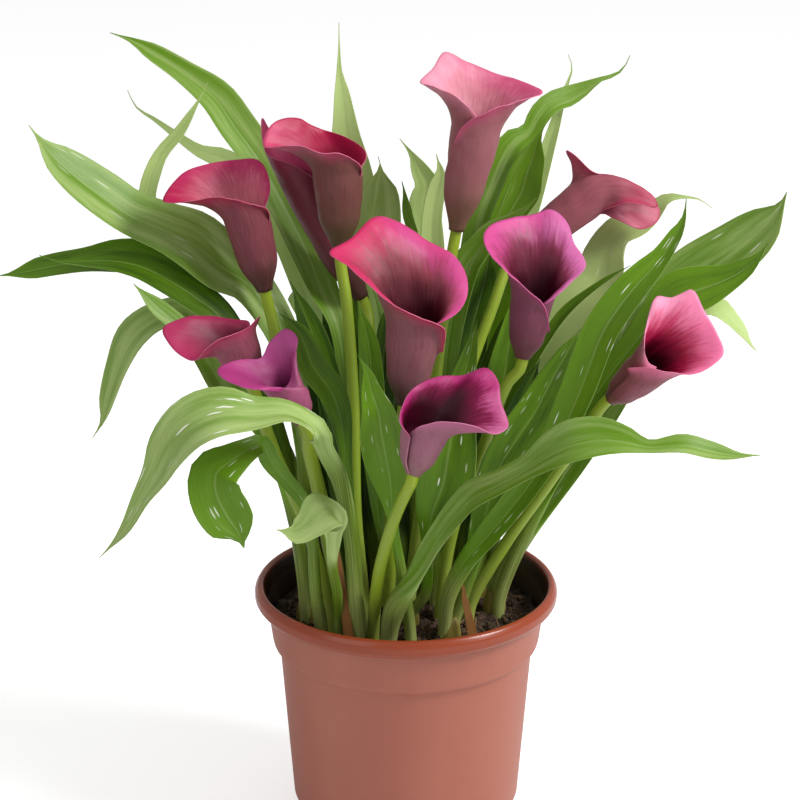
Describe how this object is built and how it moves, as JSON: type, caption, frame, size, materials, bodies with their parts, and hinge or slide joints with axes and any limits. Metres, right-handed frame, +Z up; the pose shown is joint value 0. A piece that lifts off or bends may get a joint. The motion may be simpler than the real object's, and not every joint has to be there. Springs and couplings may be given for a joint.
{
  "type": "potted calla lily",
  "caption": "Calla lily with dark pink and burgundy blooms on tall stems among lance-shaped leaves, growing in a round terracotta-brown plastic nursery pot filled with soil.",
  "frame": {"origin": "middle of the pot's foot, on the surface the pot stands on", "axes": "+Z up the pot's axis; -Y is the front that the picture shows; +X to the right seen from the front"},
  "size_m": [0.3588, 0.2842, 0.373],
  "materials": {
    "pot": "satin moulded plastic, terracotta brown",
    "soil": "rough, damp dark peat with pale fibres",
    "leaf": "smooth waxy green blade, soft sheen, pale midrib and edge",
    "stem": "smooth waxy yellow-green stalk",
    "spathe": "satin petal, crimson-pink rim into a burgundy throat",
    "spadix": "fine dark grains, matt"
  },
  "bodies": {
    "root": {"pot": "pot", "soil": "soil", "leaf_front_left": "leaf", "leaf_front_right": "leaf", "leaf_curly": "leaf", "leaf_small_curl": "leaf", "leaf_centre_front": "leaf", "leaf_inner_left": "leaf", "shoot_left": "leaf", "shoot_left_back": "leaf", "shoot_back_left": "leaf", "shoot_centre": "leaf", "shoot_back": "leaf", "leaf_inner_back": "leaf", "shoot_back_right": "leaf", "shoot_right_back": "leaf", "shoot_right": "leaf", "shoot_right_front": "leaf", "leaf_inner_right": "leaf", "leaf_back": "leaf", "leaf_back_right": "leaf", "stem_01": "stem", "stem_02": "stem", "stem_03": "stem", "stem_04": "stem", "stem_05": "stem", "stem_06": "stem", "stem_07": "stem", "stem_08": "stem", "stem_09": "stem", "stem_10": "stem", "stem_11": "stem", "spathe_01": "spathe", "spathe_02": "spathe", "spathe_03": "spathe", "spathe_04": "spathe", "spathe_05": "spathe", "spathe_06": "spathe", "spathe_07": "spathe", "spathe_08": "spathe", "spathe_09": "spathe", "spathe_10": "spathe", "spathe_11": "spathe", "spadix_01": "spadix", "spadix_02": "spadix", "spadix_03": "spadix", "spadix_04": "spadix", "spadix_05": "spadix", "spadix_06": "spadix", "spadix_07": "spadix", "spadix_08": "spadix", "spadix_09": "spadix", "spadix_10": "spadix", "spadix_11": "spadix"}
  },
  "joints": []
}
